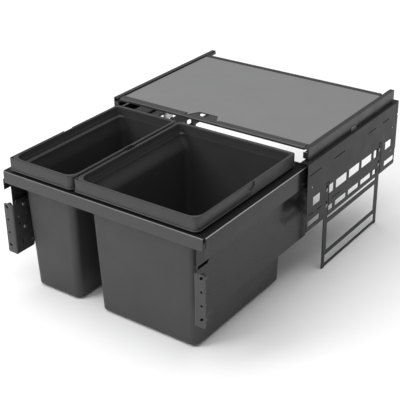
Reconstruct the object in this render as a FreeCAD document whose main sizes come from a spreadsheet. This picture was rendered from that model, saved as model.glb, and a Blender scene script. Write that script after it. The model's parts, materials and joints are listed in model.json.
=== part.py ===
"""Pull-out waste-bin unit for a kitchen cabinet 600 mm wide, drawn with the drawer fully open.

Origin: on the cabinet floor, in the middle of the unit. +X to the right, +Y into the cabinet, +Z up.
Right-hand parts are drawn and the left-hand ones are their mirror images.
"""
import FreeCAD, Part
import os
import re
import Sketcher

DOC = FreeCAD.newDocument("WasteBinPullOut")
SHEET = DOC.addObject("Spreadsheet::Sheet", "dims")
NODES = []

# Every driving dimension in millimetres: alias, value, meaning.
DIMENSIONS = [
    ("half_depth", 408, "half of the whole depth, door brackets to the plates' rear edge"),
    ("plate_outer", 282, "side plate: outer face from the middle, half of the cabinet's inside width"),
    ("plate_gauge", 1.5, "side plate: sheet thickness"),
    ("plate_length", 442.6, "side plate: length"),
    ("plate_low", 135.6, "side plate: lower edge"),
    ("plate_high", 304, "side plate: upper edge"),
    ("plate_flange", 20, "side plate: width of the flange along the upper edge"),
    ("rear_step", 2.5, "side plate: how far its rear edge is set back below the step"),
    ("rear_step_high", 175, "side plate: height of the step in the rear edge"),
    ("window_wide", 52, "side plate: width of a middle window"),
    ("window_pitch", 62.8, "side plate: pitch of the middle windows"),
    ("slit_wide", 20, "side plate: width of a narrow window"),
    ("slit_place", 110.5, "side plate: narrow window from the plate's middle"),
    ("end_window_wide", 32, "side plate: width of an upper end window"),
    ("end_window_place", 178, "side plate: upper end window from the plate's middle"),
    ("foot_window_place", 188.5, "side plate: lower end window from the plate's middle"),
    ("upper_row_low", 191.6, "side plate: lower edge of the upper windows"),
    ("upper_row_high", 213.6, "side plate: upper edge of the upper windows"),
    ("lower_row_low", 146.7, "side plate: lower edge of the lower windows"),
    ("lower_row_high", 160.4, "side plate: upper edge of the lower windows"),
    ("wall_hole_radius", 2.6, "side plate: radius of a screw hole"),
    ("wall_hole_place", 199, "side plate: screw holes from the plate's middle"),
    ("wall_hole_low", 176, "side plate: height of the lower screw holes"),
    ("wall_hole_rise", 64, "side plate: rise from the lower to the upper screw holes"),
    ("groove_wide", 18.8, "leg groove: width"),
    ("groove_deep", 3, "leg groove: depth below the plate's outer face"),
    ("groove_high", 224, "leg groove: upper end"),
    ("leg_span", 278.5, "support frame: outer width over both legs"),
    ("leg_wide", 18, "support frame: width of a leg above the middle bar"),
    ("foot_wide", 13, "support frame: width of a leg below the middle bar"),
    ("leg_gauge", 1.9, "support frame: strip thickness"),
    ("leg_high", 221, "support frame: top of the legs"),
    ("pad_tall", 1.5, "support frame: height of the rubber foot pads"),
    ("top_bar_low", 115.3, "support frame: top bar, lower edge"),
    ("top_bar_high", 127.5, "support frame: top bar, upper edge"),
    ("middle_bar_low", 31.4, "support frame: middle bar, lower edge"),
    ("middle_bar_high", 42.2, "support frame: middle bar, upper edge"),
    ("bottom_bar_high", 9, "support frame: bottom bar, upper edge"),
    ("stud_low", 165, "guide studs: height of the lower one"),
    ("stud_high", 205, "guide studs: height of the upper one"),
    ("stud_radius", 2.5, "guide studs: shank radius"),
    ("leg_drop", 9, "support frame: travel down"),
    ("leg_lift", 2, "support frame: travel up"),
    ("track_middle", 259.05, "runner: middle of the track from the unit's middle"),
    ("track_half", 7.35, "runner: half of the outer width of a track"),
    ("track_gauge", 1.5, "runner: sheet thickness"),
    ("track_floor", 240, "runner: floor of the cabinet track"),
    ("track_lip", 254, "runner: top of the cabinet track's lips"),
    ("upper_lip", 272, "runner: lower edge of the drawer track's lips"),
    ("core_half", 2.25, "runner: half width of the middle member's heads"),
    ("core_web_half", 1, "runner: half thickness of the middle member's web"),
    ("ball_radius", 1.65, "runner: ball radius"),
    ("side_outer", 269.4, "drawer side: outer face"),
    ("side_gauge", 1.2, "drawer side: sheet thickness of the walls"),
    ("skirt_outer", 249.4, "drawer side: outer face of the skirt"),
    ("frame_top", 289.6, "drawer frame: top face"),
    ("frame_gauge", 1.5, "drawer frame: thickness of the top flanges"),
    ("ledge_inner", 238, "drawer frame: inner edge of the side ledges"),
    ("band_low", 243.7, "drawer side: lower edge of the outer band"),
    ("skirt_low", 94.1, "drawer side: lower edge of the skirt"),
    ("front_face", 404.5, "drawer frame: front face, distance forward of the middle"),
    ("rear_face", 9, "drawer frame: rear edge, distance forward of the middle"),
    ("front_rail_low", 261.8, "front rail: lower edge"),
    ("front_ledge", 16.5, "front rail: depth of the top flange"),
    ("rear_ledge", 27.9, "rear rail: depth of the top flange"),
    ("flange_edge", 272.8, "door bracket: outer edge of the flange"),
    ("bracket_gauge", 2.5, "door bracket: sheet thickness"),
    ("bracket_low", 88.1, "door bracket: lower edge"),
    ("bracket_high", 211.4, "door bracket: upper edge"),
    ("bracket_deep", 56, "door bracket: depth of the web"),
    ("pocket_deep", 6, "drawer side: depth of the pocket above the door bracket"),
    ("pocket_low", 213.5, "drawer side: lower edge of the pocket"),
    ("pocket_high", 220.5, "drawer side: upper edge of the pocket"),
    ("band_step", 6, "drawer side: how far the upper part of the outer band is set back"),
    ("band_step_low", 269.3, "drawer side: lower end of the set-back part of the outer band"),
    ("door_hole_x", 263.6, "door bracket: hole line from the middle"),
    ("door_hole_low", 107.5, "door bracket: lowest hole"),
    ("door_hole_pitch", 32, "door bracket: hole pitch"),
    ("door_hole_radius", 2.6, "door bracket: hole radius"),
    ("cover_rail_outer", 272.2, "cover rail: outer face"),
    ("cover_rail_low", 307.9, "cover rail: lower edge"),
    ("cover_rail_high", 332.7, "cover rail: upper edge"),
    ("cover_rail_front", 17.6, "cover rail: front end, distance forward of the middle"),
    ("cover_rail_rear", 398, "cover rail: rear end"),
    ("cover_rear", 358.6, "cover: rear edge"),
    ("cover_top", 330.3, "cover: top face"),
    ("cover_low", 324.4, "cover: underside of its edges"),
    ("cover_half", 258.5, "cover: half width of the top face"),
    ("pull_middle", -22, "cover: middle of the finger pull"),
    ("bin_floor", 5, "bins: underside"),
    ("bin_wall", 2.2, "bins: wall thickness"),
    ("collar_wall", 4.4, "collars: thickness of the rim"),
    ("funnel", 3, "collars: how far the inside narrows below the rim"),
    ("waist_high", 262, "bins: height where the wall towards the other bin starts to flare"),
    ("flare_gap", 9, "bins: flared wall from the collar's face"),
    ("funnel_low", 302.6, "collars: height where the inside has narrowed"),
    ("bin_draft", 8.2, "bins: draft from the floor up to the collar, one side"),
    ("bin_front", 375.1, "bins: front of the floor, distance forward of the middle"),
    ("bin_back", 47, "bins: back of the floor, distance forward of the middle"),
    ("bin_corner", 16.5, "bins: corner radius"),
    ("bin_outer", 224.3, "bins: outer side of the floors from the middle"),
    ("large_inner", -32.6, "large bin: inner side of the floor"),
    ("small_inner", -96.1, "small bin: inner side of the floor"),
    ("shelf_low", 289.9, "bins: underside of the foot ring that rests on the drawer frame"),
    ("collar_low", 294, "collars: underside of the lip"),
    ("lip_high", 297.6, "collars: top of the lip"),
    ("rim_high", 323.2, "collars: top of the rim"),
    ("collar_outer", 249.5, "collars: outer face from the middle"),
    ("collar_front", 398.2, "collars: front face, distance forward of the middle"),
    ("collar_back", 33.5, "collars: back face, distance forward of the middle"),
    ("large_collar", -63.5, "large bin: inner side of the collar"),
    ("small_collar", -70.5, "small bin: inner side of the collar"),
    ("collar_corner", 9, "collars: corner radius"),
    ("handle_gauge", 2.4, "handles: thickness"),
    ("handle_gap", 0.4, "handles: gap to the rim at the sides"),
    ("front_gap", 1.8, "handles: gap to the rim at the front, which lets the handle swing"),
    ("handle_low", 298.2, "handles: lower edge"),
    ("pivot_back", 217, "handles: pivot axis, distance forward of the middle"),
    ("pivot_height", 304.5, "handles: pivot axis above the cabinet floor"),
    ("pivot_radius", 3, "handles: pin radius"),
]
for row, (alias, value, meaning) in enumerate(DIMENSIONS, 1):
    SHEET.set(f"A{row}", meaning)
    SHEET.set(f"B{row}", str(value))
    SHEET.setAlias(f"B{row}", alias)
DOC.recompute()


# ---------------------------------------------------------------- helpers

def formula(text):
    """Put the sheet's name before each alias of a length such as "plate_outer - plate_gauge"."""
    return re.sub(r"[a-z][a-z_]+", lambda alias: "dims." + alias.group(), str(text))


def number(text):
    """The value of a length in millimetres."""
    return float(SHEET.evalExpression(formula(text)))


def block(name, low, high):
    """A box between two corners, each given as three lengths."""
    box = DOC.addObject("Part::Box", name)
    for side, axis, near, far in zip(("Length", "Width", "Height"), "xyz", low, high):
        box.setExpression(side, formula(f"({far}) - ({near})"))
        box.setExpression("Placement.Base." + axis, formula(near))
    return box


TURNS = {
    "x": FreeCAD.Rotation(FreeCAD.Vector(0, 1, 0), 90),
    "y": FreeCAD.Rotation(FreeCAD.Vector(1, 0, 0), -90),
    "z": FreeCAD.Rotation(),
}


def rod(name, axis, start, radius, length):
    """A round bar from the point start along +X, +Y or +Z."""
    bar = DOC.addObject("Part::Cylinder", name)
    bar.Placement = FreeCAD.Placement(FreeCAD.Vector(), TURNS[axis])
    bar.setExpression("Radius", formula(radius))
    bar.setExpression("Height", formula(length))
    for letter, place in zip("xyz", start):
        bar.setExpression("Placement.Base." + letter, formula(place))
    return bar


def fuse(name, *pieces):
    joined = DOC.addObject("Part::MultiFuse", name)
    joined.Shapes = list(pieces)
    joined.Refine = True
    return joined


def cut(name, base, *tools):
    """The base less the tools."""
    result = DOC.addObject("Part::Cut", name)
    result.Base = base
    result.Tool = tools[0] if len(tools) == 1 else fuse(name + "_tools", *tools)
    result.Refine = True
    return result


def group(name, pieces):
    """Separate solids in one node, such as equal rivets."""
    compound = DOC.addObject("Part::Compound", name)
    compound.Links = list(pieces)
    return compound


def polygon(sketch, corners):
    """A closed outline whose corners are bound to the sheet."""
    first, count = sketch.GeometryCount, len(corners)
    points = [FreeCAD.Vector(number(u), number(v), 0) for u, v in corners]
    lines = [Part.LineSegment(points[n], points[(n + 1) % count]) for n in range(count)]
    sketch.addGeometry(lines, False)
    rules = [
        Sketcher.Constraint("Coincident", first + n, 2, first + (n + 1) % count, 1)
        for n in range(count)
    ]
    sketch.addConstraint(rules)
    bound = []
    for n, (u, v) in enumerate(corners):
        bound.append((Sketcher.Constraint("DistanceX", -1, 1, first + n, 1, number(u)), u))
        bound.append((Sketcher.Constraint("DistanceY", -1, 1, first + n, 1, number(v)), v))
    start = sketch.ConstraintCount
    sketch.addConstraint([rule for rule, _ in bound])
    for n, (_, length) in enumerate(bound):
        sketch.setExpression(f"Constraints[{start + n}]", formula(length))


def rectangle(left, right, low, high):
    return [(left, low), (right, low), (right, high), (left, high)]


def plane_sketch(body, name, role):
    """A sketch on one of the body's own origin planes."""
    sketch = body.newObject("Sketcher::SketchObject", name)
    plane = next(p for p in body.Origin.OriginFeatures if p.Role == role + "_Plane")
    sketch.AttachmentSupport = (plane, [""])
    sketch.MapMode = "FlatFace"
    return sketch


def extrusion(name, role, outlines, near, far):
    """A body padded from a sketch: XZ pads along Y, YZ along X and XY along Z.

    The first outline is the outer edge and the others are openings in it.
    """
    body = DOC.addObject("PartDesign::Body", name)
    sketch = plane_sketch(body, name + "_outline", role)
    for corners in outlines:
        polygon(sketch, corners)
    pad = body.newObject("PartDesign::Pad", name + "_pad")
    pad.Profile = sketch
    pad.setExpression("Length", formula(f"({far}) - ({near})"))
    axis, start = {"XZ": ("y", far), "YZ": ("x", near), "XY": ("z", near)}[role]
    body.setExpression("Placement.Base." + axis, formula(start))
    return body


def rounded_sketch(name, height, left, right, front, back, corner):
    """A level rounded rectangle at a height, bound to the sheet."""
    sketch = DOC.addObject("Sketcher::SketchObject", name)
    sketch.setExpression("Placement.Base.z", formula(height))
    x_low, x_high = number(left), number(right)
    y_low, y_high, r = number(front), number(back), number(corner)
    centres = [
        (x_high - r, y_low + r, 270), (x_high - r, y_high - r, 0),
        (x_low + r, y_high - r, 90), (x_low + r, y_low + r, 180),
    ]
    sides = [
        ((x_low + r, y_low), (x_high - r, y_low)), ((x_high, y_low + r), (x_high, y_high - r)),
        ((x_high - r, y_high), (x_low + r, y_high)), ((x_low, y_high - r), (x_low, y_low + r)),
    ]
    up = FreeCAD.Vector(0, 0, 1)
    for (start, end), (x, y, turn) in zip(sides, centres):
        sketch.addGeometry(Part.LineSegment(FreeCAD.Vector(*start, 0), FreeCAD.Vector(*end, 0)), False)
        circle = Part.Circle(FreeCAD.Vector(x, y, 0), up, r)
        arc = Part.ArcOfCircle(circle, FreeCAD.Units.Quantity(turn, "deg").getValueAs("rad").Value,
                               FreeCAD.Units.Quantity(turn + 90, "deg").getValueAs("rad").Value)
        sketch.addGeometry(arc, False)
    rules = []
    for n in range(4):
        rules.append(Sketcher.Constraint("Tangent", 2 * n, 2, 2 * n + 1, 1))
        rules.append(Sketcher.Constraint("Tangent", 2 * n + 1, 2, (2 * n + 2) % 8, 1))
        rules.append(Sketcher.Constraint("Vertical" if n % 2 else "Horizontal", 2 * n))
    rules += [Sketcher.Constraint("Equal", 1, 2 * n + 1) for n in (1, 2, 3)]
    sketch.addConstraint(rules)
    bound = [
        (Sketcher.Constraint("Radius", 1, r), corner),
        (Sketcher.Constraint("DistanceX", -1, 1, 2, 1, x_high), right),
        (Sketcher.Constraint("DistanceX", -1, 1, 6, 1, x_low), left),
        (Sketcher.Constraint("DistanceY", -1, 1, 0, 1, y_low), front),
        (Sketcher.Constraint("DistanceY", -1, 1, 4, 1, y_high), back),
    ]
    start = sketch.ConstraintCount
    sketch.addConstraint([rule for rule, _ in bound])
    for n, (_, length) in enumerate(bound):
        sketch.setExpression(f"Constraints[{start + n}]", formula(length))
    return sketch


def rounded_prism(name, low, high, below, above):
    """A solid between two level rounded rectangles: (left, right, front, back, corner) each."""
    sections = [
        rounded_sketch(name + "_below", low, *below),
        rounded_sketch(name + "_above", high, *above),
    ]
    loft = DOC.addObject("Part::Loft", name)
    loft.Sections = sections
    loft.Solid = True
    loft.Ruled = True
    return loft


def node(piece, label):
    """Give a finished sub-part its own name and remember it for export."""
    piece.Label = label
    NODES.append(piece)
    return piece


def pair(piece, label):
    """A right-hand sub-part and its mirror image on the left."""
    node(piece, label + "_right")
    twin = DOC.addObject("Part::Mirroring", label + "_mirror")
    twin.Source = piece
    twin.Normal = FreeCAD.Vector(1, 0, 0)
    node(twin, label + "_left")


PLATE_FRONT = "half_depth - plate_length"
PLATE_MIDDLE = "half_depth - plate_length / 2"
PLATE_INNER = "plate_outer - plate_gauge"


# ---------------------------------------------------------------- cabinet sides

def window(place, width, low, high):
    """A window of the side plate, its place measured from the plate's middle."""
    middle = f"{PLATE_MIDDLE} + {place}"
    return rectangle(f"{middle} - {width} / 2", f"{middle} + {width} / 2", low, high)


def side_plate():
    """Folded sheet with two rows of windows, two leg grooves and a flange along the top."""
    upper, lower = ("upper_row_low", "upper_row_high"), ("lower_row_low", "lower_row_high")
    windows = []
    for row_low, row_high in (upper, lower):
        for place in ("0", "window_pitch", "0 - window_pitch"):
            windows.append(window(place, "window_wide", row_low, row_high))
        for place in ("slit_place", "0 - slit_place"):
            windows.append(window(place, "slit_wide", row_low, row_high))
    for sign in ("", "0 - "):
        windows.append(window(sign + "end_window_place", "end_window_wide", *upper))
        windows.append(window(sign + "foot_window_place", "window_wide", *lower))
    edge = [
        (PLATE_FRONT, "plate_low"), ("half_depth - rear_step", "plate_low"),
        ("half_depth - rear_step", "rear_step_high"), ("half_depth", "rear_step_high"),
        ("half_depth", "plate_high"), (PLATE_FRONT, "plate_high"),
    ]
    sheet = extrusion("plate_sheet", "YZ", [edge] + windows, PLATE_INNER, "plate_outer")
    pieces = [sheet, block(
        "plate_top_flange",
        ("plate_outer - plate_flange", PLATE_FRONT, "plate_high - plate_gauge"),
        ("plate_outer", "half_depth", "plate_high"),
    )]
    tools = []
    for end, sign in (("front", "-"), ("rear", "+")):
        middle = f"{PLATE_MIDDLE} {sign} (leg_span - leg_wide) / 2"
        near, far = f"{middle} - groove_wide / 2", f"{middle} + groove_wide / 2"
        pieces.append(block(
            f"groove_pan_{end}",
            ("plate_outer - groove_deep - plate_gauge", f"{near} - 0.4", "plate_low"),
            ("plate_outer", f"{far} + 0.4", "groove_high + plate_gauge"),
        ))
        tools.append(block(
            f"groove_{end}",
            ("plate_outer - groove_deep", near, "plate_low - plate_gauge"),
            ("plate_outer + plate_gauge", far, "groove_high"),
        ))
        for height in ("wall_hole_low", "wall_hole_low + wall_hole_rise"):
            tools.append(rod(
                f"wall_hole_{end}_{len(tools)}", "x",
                (f"{PLATE_INNER} - 1", f"{PLATE_MIDDLE} {sign} wall_hole_place", height),
                "wall_hole_radius", "plate_gauge + 2",
            ))
    tools.append(block("rear_notch", (f"{PLATE_INNER} - 1", "half_depth - 2.5", 266),
                       ("plate_outer + 1", "half_depth + 1", 271)))
    return cut("side_plate", fuse("plate_blank", *pieces), *tools)


def support_frame():
    """Two legs and three cross bars cut from one strip, with slots for the guide studs."""
    front = f"{PLATE_MIDDLE} - leg_span / 2"
    back = f"{PLATE_MIDDLE} + leg_span / 2"
    near, far = f"{front} + leg_wide", f"{back} - leg_wide"
    foot_near, foot_far = f"{front} + foot_wide", f"{back} - foot_wide"
    edge = [
        (front, "pad_tall"), (back, "pad_tall"), (back, "leg_high"), (far, "leg_high"),
        (far, "top_bar_high"), (near, "top_bar_high"), (near, "leg_high"), (front, "leg_high"),
    ]
    gaps = [
        rectangle(near, far, "middle_bar_high", "top_bar_low"),
        rectangle(foot_near, foot_far, "bottom_bar_high", "middle_bar_low"),
    ]
    for start in (front, far):
        left = f"{start} + leg_wide / 2 - stud_radius - 0.3"
        right = f"{start} + leg_wide / 2 + stud_radius + 0.3"
        for stud in ("stud_low", "stud_high"):
            low = f"{stud} - leg_lift - stud_radius - 0.3"
            high = f"{stud} + leg_drop + stud_radius + 0.3"
            gaps.append(rectangle(left, right, low, high))
    inner = "plate_outer - groove_deep + 0.3"
    return extrusion("support_frame", "YZ", [edge] + gaps, inner, f"{inner} + leg_gauge")


def leg_pieces(make):
    """Call make(name, middle of the leg) for the front and the rear leg."""
    for end, sign in (("front", "-"), ("rear", "+")):
        yield make(end, f"{PLATE_MIDDLE} {sign} (leg_span - leg_wide) / 2")


def foot_pad(end, middle):
    """Rubber pad under a leg, flush with the leg's outer edge."""
    near, far = f"{middle} - leg_wide / 2", f"{middle} + leg_wide / 2"
    if end == "front":
        far = f"{near} + foot_wide"
    else:
        near = f"{far} - foot_wide"
    return block(f"foot_pad_{end}", ("plate_outer - groove_deep + 0.1", near, 0),
                 ("plate_outer - 0.3", far, "pad_tall"))


def guide_studs(end, middle):
    """Two headed studs that stand on the groove's floor and hold the leg in the groove."""
    studs = []
    for height in ("stud_low", "stud_high"):
        floor = "plate_outer - groove_deep"
        shank = rod(f"stud_shank_{end}_{height}", "x", (floor, middle, height), "stud_radius", 2.6)
        head = rod(f"stud_head_{end}_{height}", "x", (f"{floor} + 2.5", middle, height), 4.6, 0.5)
        studs.append(fuse(f"stud_{end}_{height}", shank, head))
    return group(f"studs_{end}", studs)


# ---------------------------------------------------------------- runners

TRACK_NEAR = "track_middle - track_half"
TRACK_FAR = "track_middle + track_half"
DRAWER_TRACK_TOP = "frame_top - frame_gauge"


def cabinet_track():
    """Bracket from the side plate with an upright channel for the lower balls."""
    outline = [
        (f"{PLATE_INNER} - track_gauge", "track_floor - 14"), (PLATE_INNER, "track_floor - 14"),
        (PLATE_INNER, "track_floor"), (TRACK_FAR, "track_floor"), (TRACK_FAR, "track_lip"),
        (f"{TRACK_FAR} - track_gauge", "track_lip"), (f"{TRACK_FAR} - track_gauge", "track_floor"),
        (f"{TRACK_NEAR} + track_gauge", "track_floor"), (f"{TRACK_NEAR} + track_gauge", "track_lip"),
        (TRACK_NEAR, "track_lip"), (TRACK_NEAR, "track_floor - track_gauge"),
        (f"{PLATE_INNER} - track_gauge", "track_floor - track_gauge"),
    ]
    track = extrusion("track_strip", "XZ", [outline], f"{PLATE_FRONT} + 1.6", "half_depth - 8")
    screw_rooms = []
    for end, sign in (("front", "-"), ("rear", "+")):
        middle = f"{PLATE_MIDDLE} {sign} wall_hole_place"
        screw_rooms.append(block(
            f"screw_room_{end}", (f"{TRACK_FAR} + 2", f"{middle} - 8", "track_floor - 15"),
            ("plate_outer", f"{middle} + 8", "track_floor + 1"),
        ))
    return cut("cabinet_track", track, *screw_rooms)


def drawer_track():
    """Inverted channel under the drawer side's top flange, for the upper balls."""
    roof = f"{DRAWER_TRACK_TOP} - track_gauge"
    outline = [
        (TRACK_NEAR, "upper_lip"), (f"{TRACK_NEAR} + track_gauge", "upper_lip"),
        (f"{TRACK_NEAR} + track_gauge", roof), (f"{TRACK_FAR} - track_gauge", roof),
        (f"{TRACK_FAR} - track_gauge", "upper_lip"), (TRACK_FAR, "upper_lip"),
        (TRACK_FAR, DRAWER_TRACK_TOP), (TRACK_NEAR, DRAWER_TRACK_TOP),
    ]
    return extrusion("drawer_track", "XZ", [outline], "0 - front_face + 20", 28)


def middle_member():
    """Double-headed bar between the two tracks."""
    head_low, head_high = "track_floor + 1.5", f"{DRAWER_TRACK_TOP} - track_gauge - 1.9"
    near, far = "track_middle - core_half", "track_middle + core_half"
    web_near, web_far = "track_middle - core_web_half", "track_middle + core_web_half"
    outline = [
        (near, head_low), (far, head_low), (far, "track_lip + 2"), (web_far, "track_lip + 2"),
        (web_far, "upper_lip"), (far, "upper_lip"), (far, head_high), (near, head_high),
        (near, "upper_lip"), (web_near, "upper_lip"), (web_near, "track_lip + 2"),
        (near, "track_lip + 2"),
    ]
    return extrusion("middle_member", "XZ", [outline], -213, 210)


BALL_SIDES = (("near", "track_middle - core_half - 1.8"), ("far", "track_middle + core_half + 1.8"))
BALL_PITCH = 30
BALL_COUNT = 7


def ball_rows(name, start, height):
    """Two rows of balls, one on each side of the middle member."""
    balls = []
    for side, place in BALL_SIDES:
        for step in range(BALL_COUNT):
            ball = DOC.addObject("Part::Sphere", f"{name}_{side}_{step}")
            ball.setExpression("Radius", formula("ball_radius"))
            ball.setExpression("Placement.Base.x", formula(place))
            ball.setExpression("Placement.Base.y", formula(f"{start} + {17.5 + BALL_PITCH * step}"))
            ball.setExpression("Placement.Base.z", formula(height))
            balls.append(ball)
    return group(name, balls)


def ball_cage(name, start, height, spine_low, edge):
    """Plastic strip folded round a head of the middle member, with a hole for each ball."""
    near, far = "track_middle - core_half - 2.4", "track_middle + core_half + 2.4"
    spine_high = f"{spine_low} + 0.8"
    if number(edge) > number(spine_low):
        outline = [(near, spine_low), (far, spine_low), (far, edge), (f"{far} - 1.2", edge),
                   (f"{far} - 1.2", spine_high), (f"{near} + 1.2", spine_high),
                   (f"{near} + 1.2", edge), (near, edge)]
    else:
        outline = [(near, edge), (f"{near} + 1.2", edge), (f"{near} + 1.2", spine_low),
                   (f"{far} - 1.2", spine_low), (f"{far} - 1.2", edge), (far, edge),
                   (far, spine_high), (near, spine_high)]
    strip = extrusion(name + "_strip", "XZ", [outline], start, f"{start} + 215")
    holes = []
    for step in range(BALL_COUNT):
        place = ("track_middle - core_half - 4", f"{start} + {17.5 + BALL_PITCH * step}", height)
        holes.append(rod(f"{name}_hole_{step}", "x", place, "ball_radius + 0.15", "2 * core_half + 8"))
    return cut(name, strip, *holes)


def damper_housing():
    """Soft-close unit under the cabinet track: a ribbed box with a bore for the piston rod."""
    low, high = "track_floor - 34", "track_floor - 4"
    case = block("damper_case", (254, 240, low), (276, 392, high))
    lug = block("damper_lug", (262, 252, high), (272, 380, "track_floor - track_gauge"))
    bore = rod("damper_bore", "y", (265, 238, "track_floor - 20"), 3.1, 100)
    slots = [
        block(f"damper_slot_{n}", (275, 256 + 18 * n, "track_floor - 30"),
              (277, 266 + 18 * n, "track_floor - 10"))
        for n in range(7)
    ]
    return cut("damper_housing", fuse("damper_blank", case, lug), bore, *slots)


def damper_rod():
    """Piston rod that carries the catch block, shown cocked and ready for the drawer."""
    piston = rod("damper_piston", "y", (265, 190, "track_floor - 20"), 1.6, 140)
    catch = block("damper_catch", (256, 172, "track_floor - 28"), (272, 190.5, "track_floor - 6"))
    mouth = block("damper_mouth", (255, 177, "track_floor - 14"), (273, 184, "track_floor - 5"))
    return cut("damper_catch_rod", fuse("damper_catch_blank", piston, catch), mouth)


# ---------------------------------------------------------------- drawer frame

# Places (y, z) on the skirt of the door bracket's clamp screws and of its rivets.
SCREW_PLACES = ((-374.5, 203), (-376.5, 147.6))
RIVET_PLACES = ((-368.5, 176.5), (-392, 177.8), (-358, 107))


def drawer_side():
    """Runner channel and skirt folded from one sheet, with a pocket above the door bracket."""
    flange_low = "frame_top - frame_gauge"
    skirt_inner = "skirt_outer - side_gauge"
    outline = [
        ("ledge_inner", "frame_top"), ("side_outer", "frame_top"), ("side_outer", "band_low"),
        ("side_outer - side_gauge", "band_low"), ("side_outer - side_gauge", flange_low),
        ("skirt_outer", flange_low), ("skirt_outer", "skirt_low"), (skirt_inner, "skirt_low"),
        (skirt_inner, flange_low), ("ledge_inner", flange_low),
    ]
    ledge_front = "0 - front_face + front_ledge"
    channel = extrusion("side_channel", "XZ", [outline], ledge_front, "0 - rear_face")
    skirt_front = block(
        "skirt_front", (skirt_inner, "0 - front_face + frame_gauge", "skirt_low"),
        ("skirt_outer", ledge_front, flange_low),
    )
    band_front = extrusion("band_front", "YZ", [[
        ("0 - front_face", "band_low"), (ledge_front, "band_low"), (ledge_front, "frame_top"),
        ("0 - front_face + band_step", "frame_top"), ("0 - front_face + band_step", "band_step_low"),
        ("0 - front_face", "band_step_low"),
    ]], "side_outer - side_gauge", "side_outer")
    skirt_rear = block(
        "skirt_rear", (skirt_inner, "0 - rear_face", "skirt_low"), ("skirt_outer", 22, 236),
    )
    pan = block("pocket_pan", (f"{skirt_inner} - pocket_deep", -401.2, "pocket_low - side_gauge"),
                (skirt_inner, -360.8, "pocket_high + side_gauge"))
    pocket = block("pocket", (f"{skirt_inner} - pocket_deep + side_gauge", -400, "pocket_low"),
                   ("skirt_outer + 1", -362, "pocket_high"))
    blank = fuse("side_blank", channel, skirt_front, band_front, skirt_rear, pan)
    return cut("drawer_side", blank, pocket)


def front_rail():
    """Angle across the front, with a return flange below and two tabs inside the skirts."""
    face, back = "0 - front_face", "0 - front_face + frame_gauge"
    outline = [
        (face, "front_rail_low"), (back, "front_rail_low"), (back, "frame_top - frame_gauge"),
        ("0 - front_face + front_ledge", "frame_top - frame_gauge"),
        ("0 - front_face + front_ledge", "frame_top"), (face, "frame_top"),
    ]
    angle = extrusion("front_angle", "YZ", [outline], "0 - side_outer + 2.9", "side_outer - 2.9")
    low = "front_rail_low + frame_gauge"
    foot = block("front_return", (-245, back, "front_rail_low"), (245, f"{back} + 6", low))
    tabs = [
        block(f"front_tab_{number(x):.0f}", (x, back, low), (f"{x} + frame_gauge", f"{back} + 26", 286))
        for x in ("skirt_outer - side_gauge - frame_gauge", "0 - skirt_outer + side_gauge")
    ]
    return fuse("front_rail", angle, foot, *tabs)


def rear_rail():
    """Angle across the back of the bins, with a return flange below."""
    back = "0 - rear_face"
    top = block("rear_top", ("0 - ledge_inner", f"{back} - rear_ledge", "frame_top - frame_gauge"),
                ("ledge_inner", back, "frame_top"))
    reach = "skirt_outer - side_gauge"
    web = block("rear_web", (f"0 - ({reach})", f"{back} - frame_gauge", 252),
                (reach, back, "frame_top - frame_gauge"))
    foot = block("rear_return", (-240, f"{back} - 13", 252), (240, back, 253.5))
    return fuse("rear_rail", top, web, foot)


def door_bracket():
    """Angle that carries the cabinet door: two round holes between two slanting ones."""
    face, back = "0 - half_depth", "0 - half_depth + bracket_gauge"
    inner, corner = "skirt_outer - side_gauge - bracket_gauge", 3
    flange = extrusion("bracket_flange", "XZ", [[
        (inner, "bracket_low"), (f"flange_edge - {corner}", "bracket_low"),
        ("flange_edge", f"bracket_low + {corner}"), ("flange_edge", f"bracket_high - {corner}"),
        (f"flange_edge - {corner}", "bracket_high"), (inner, "bracket_high"),
    ]], face, back)
    web = block("bracket_web", (inner, back, "bracket_low"),
                (f"{inner} + bracket_gauge", f"{face} + bracket_deep", "bracket_high"))
    holes = []
    for step in range(4):
        slant = (-1.6, 0, 1.6) if step in (0, 3) else (0,)
        for shift in slant:
            place = (f"door_hole_x - ({shift})", f"{face} - 1",
                     f"door_hole_low + {step} * door_hole_pitch + ({shift})")
            holes.append(rod(f"door_hole_{step}_{len(holes)}", "y", place, "door_hole_radius",
                             "bracket_gauge + 2"))
    return cut("door_bracket", fuse("bracket_blank", flange, web), *holes)


def bracket_screws():
    """Clamp screws with flat heads, and rivet heads, on the inside of the door bracket's web."""
    inner = "skirt_outer - side_gauge - bracket_gauge"
    pieces = []
    for n, (y, z) in enumerate(SCREW_PLACES):
        head = rod(f"clamp_head_{n}", "x", (f"{inner} - 2.6", y, z), 4.8, 2.6)
        recess = rod(f"clamp_recess_{n}", "x", (f"{inner} - 2.7", y, z), 2.4, 1.6)
        pieces.append(cut(f"clamp_screw_{n}", head, recess))
    for n, (y, z) in enumerate(RIVET_PLACES):
        pieces.append(rod(f"bracket_rivet_{n}", "x", (f"{inner} - 1.2", y, z), 2, 1.2))
    return group("bracket_screws", pieces)


def corner_rivets():
    """Rivet heads of the frame's corners, outside the skirts and behind the front rail's tabs."""
    heads = []
    for sign in (1, -1):
        for n, z in enumerate((268, 280)):
            start = "skirt_outer" if sign > 0 else "0 - skirt_outer - 1"
            heads.append(rod(f"front_rivet_{sign}_{n}", "x", (start, -389, z), 2.5, 1))
    return group("corner_rivets", heads)


# ---------------------------------------------------------------- cover

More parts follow.
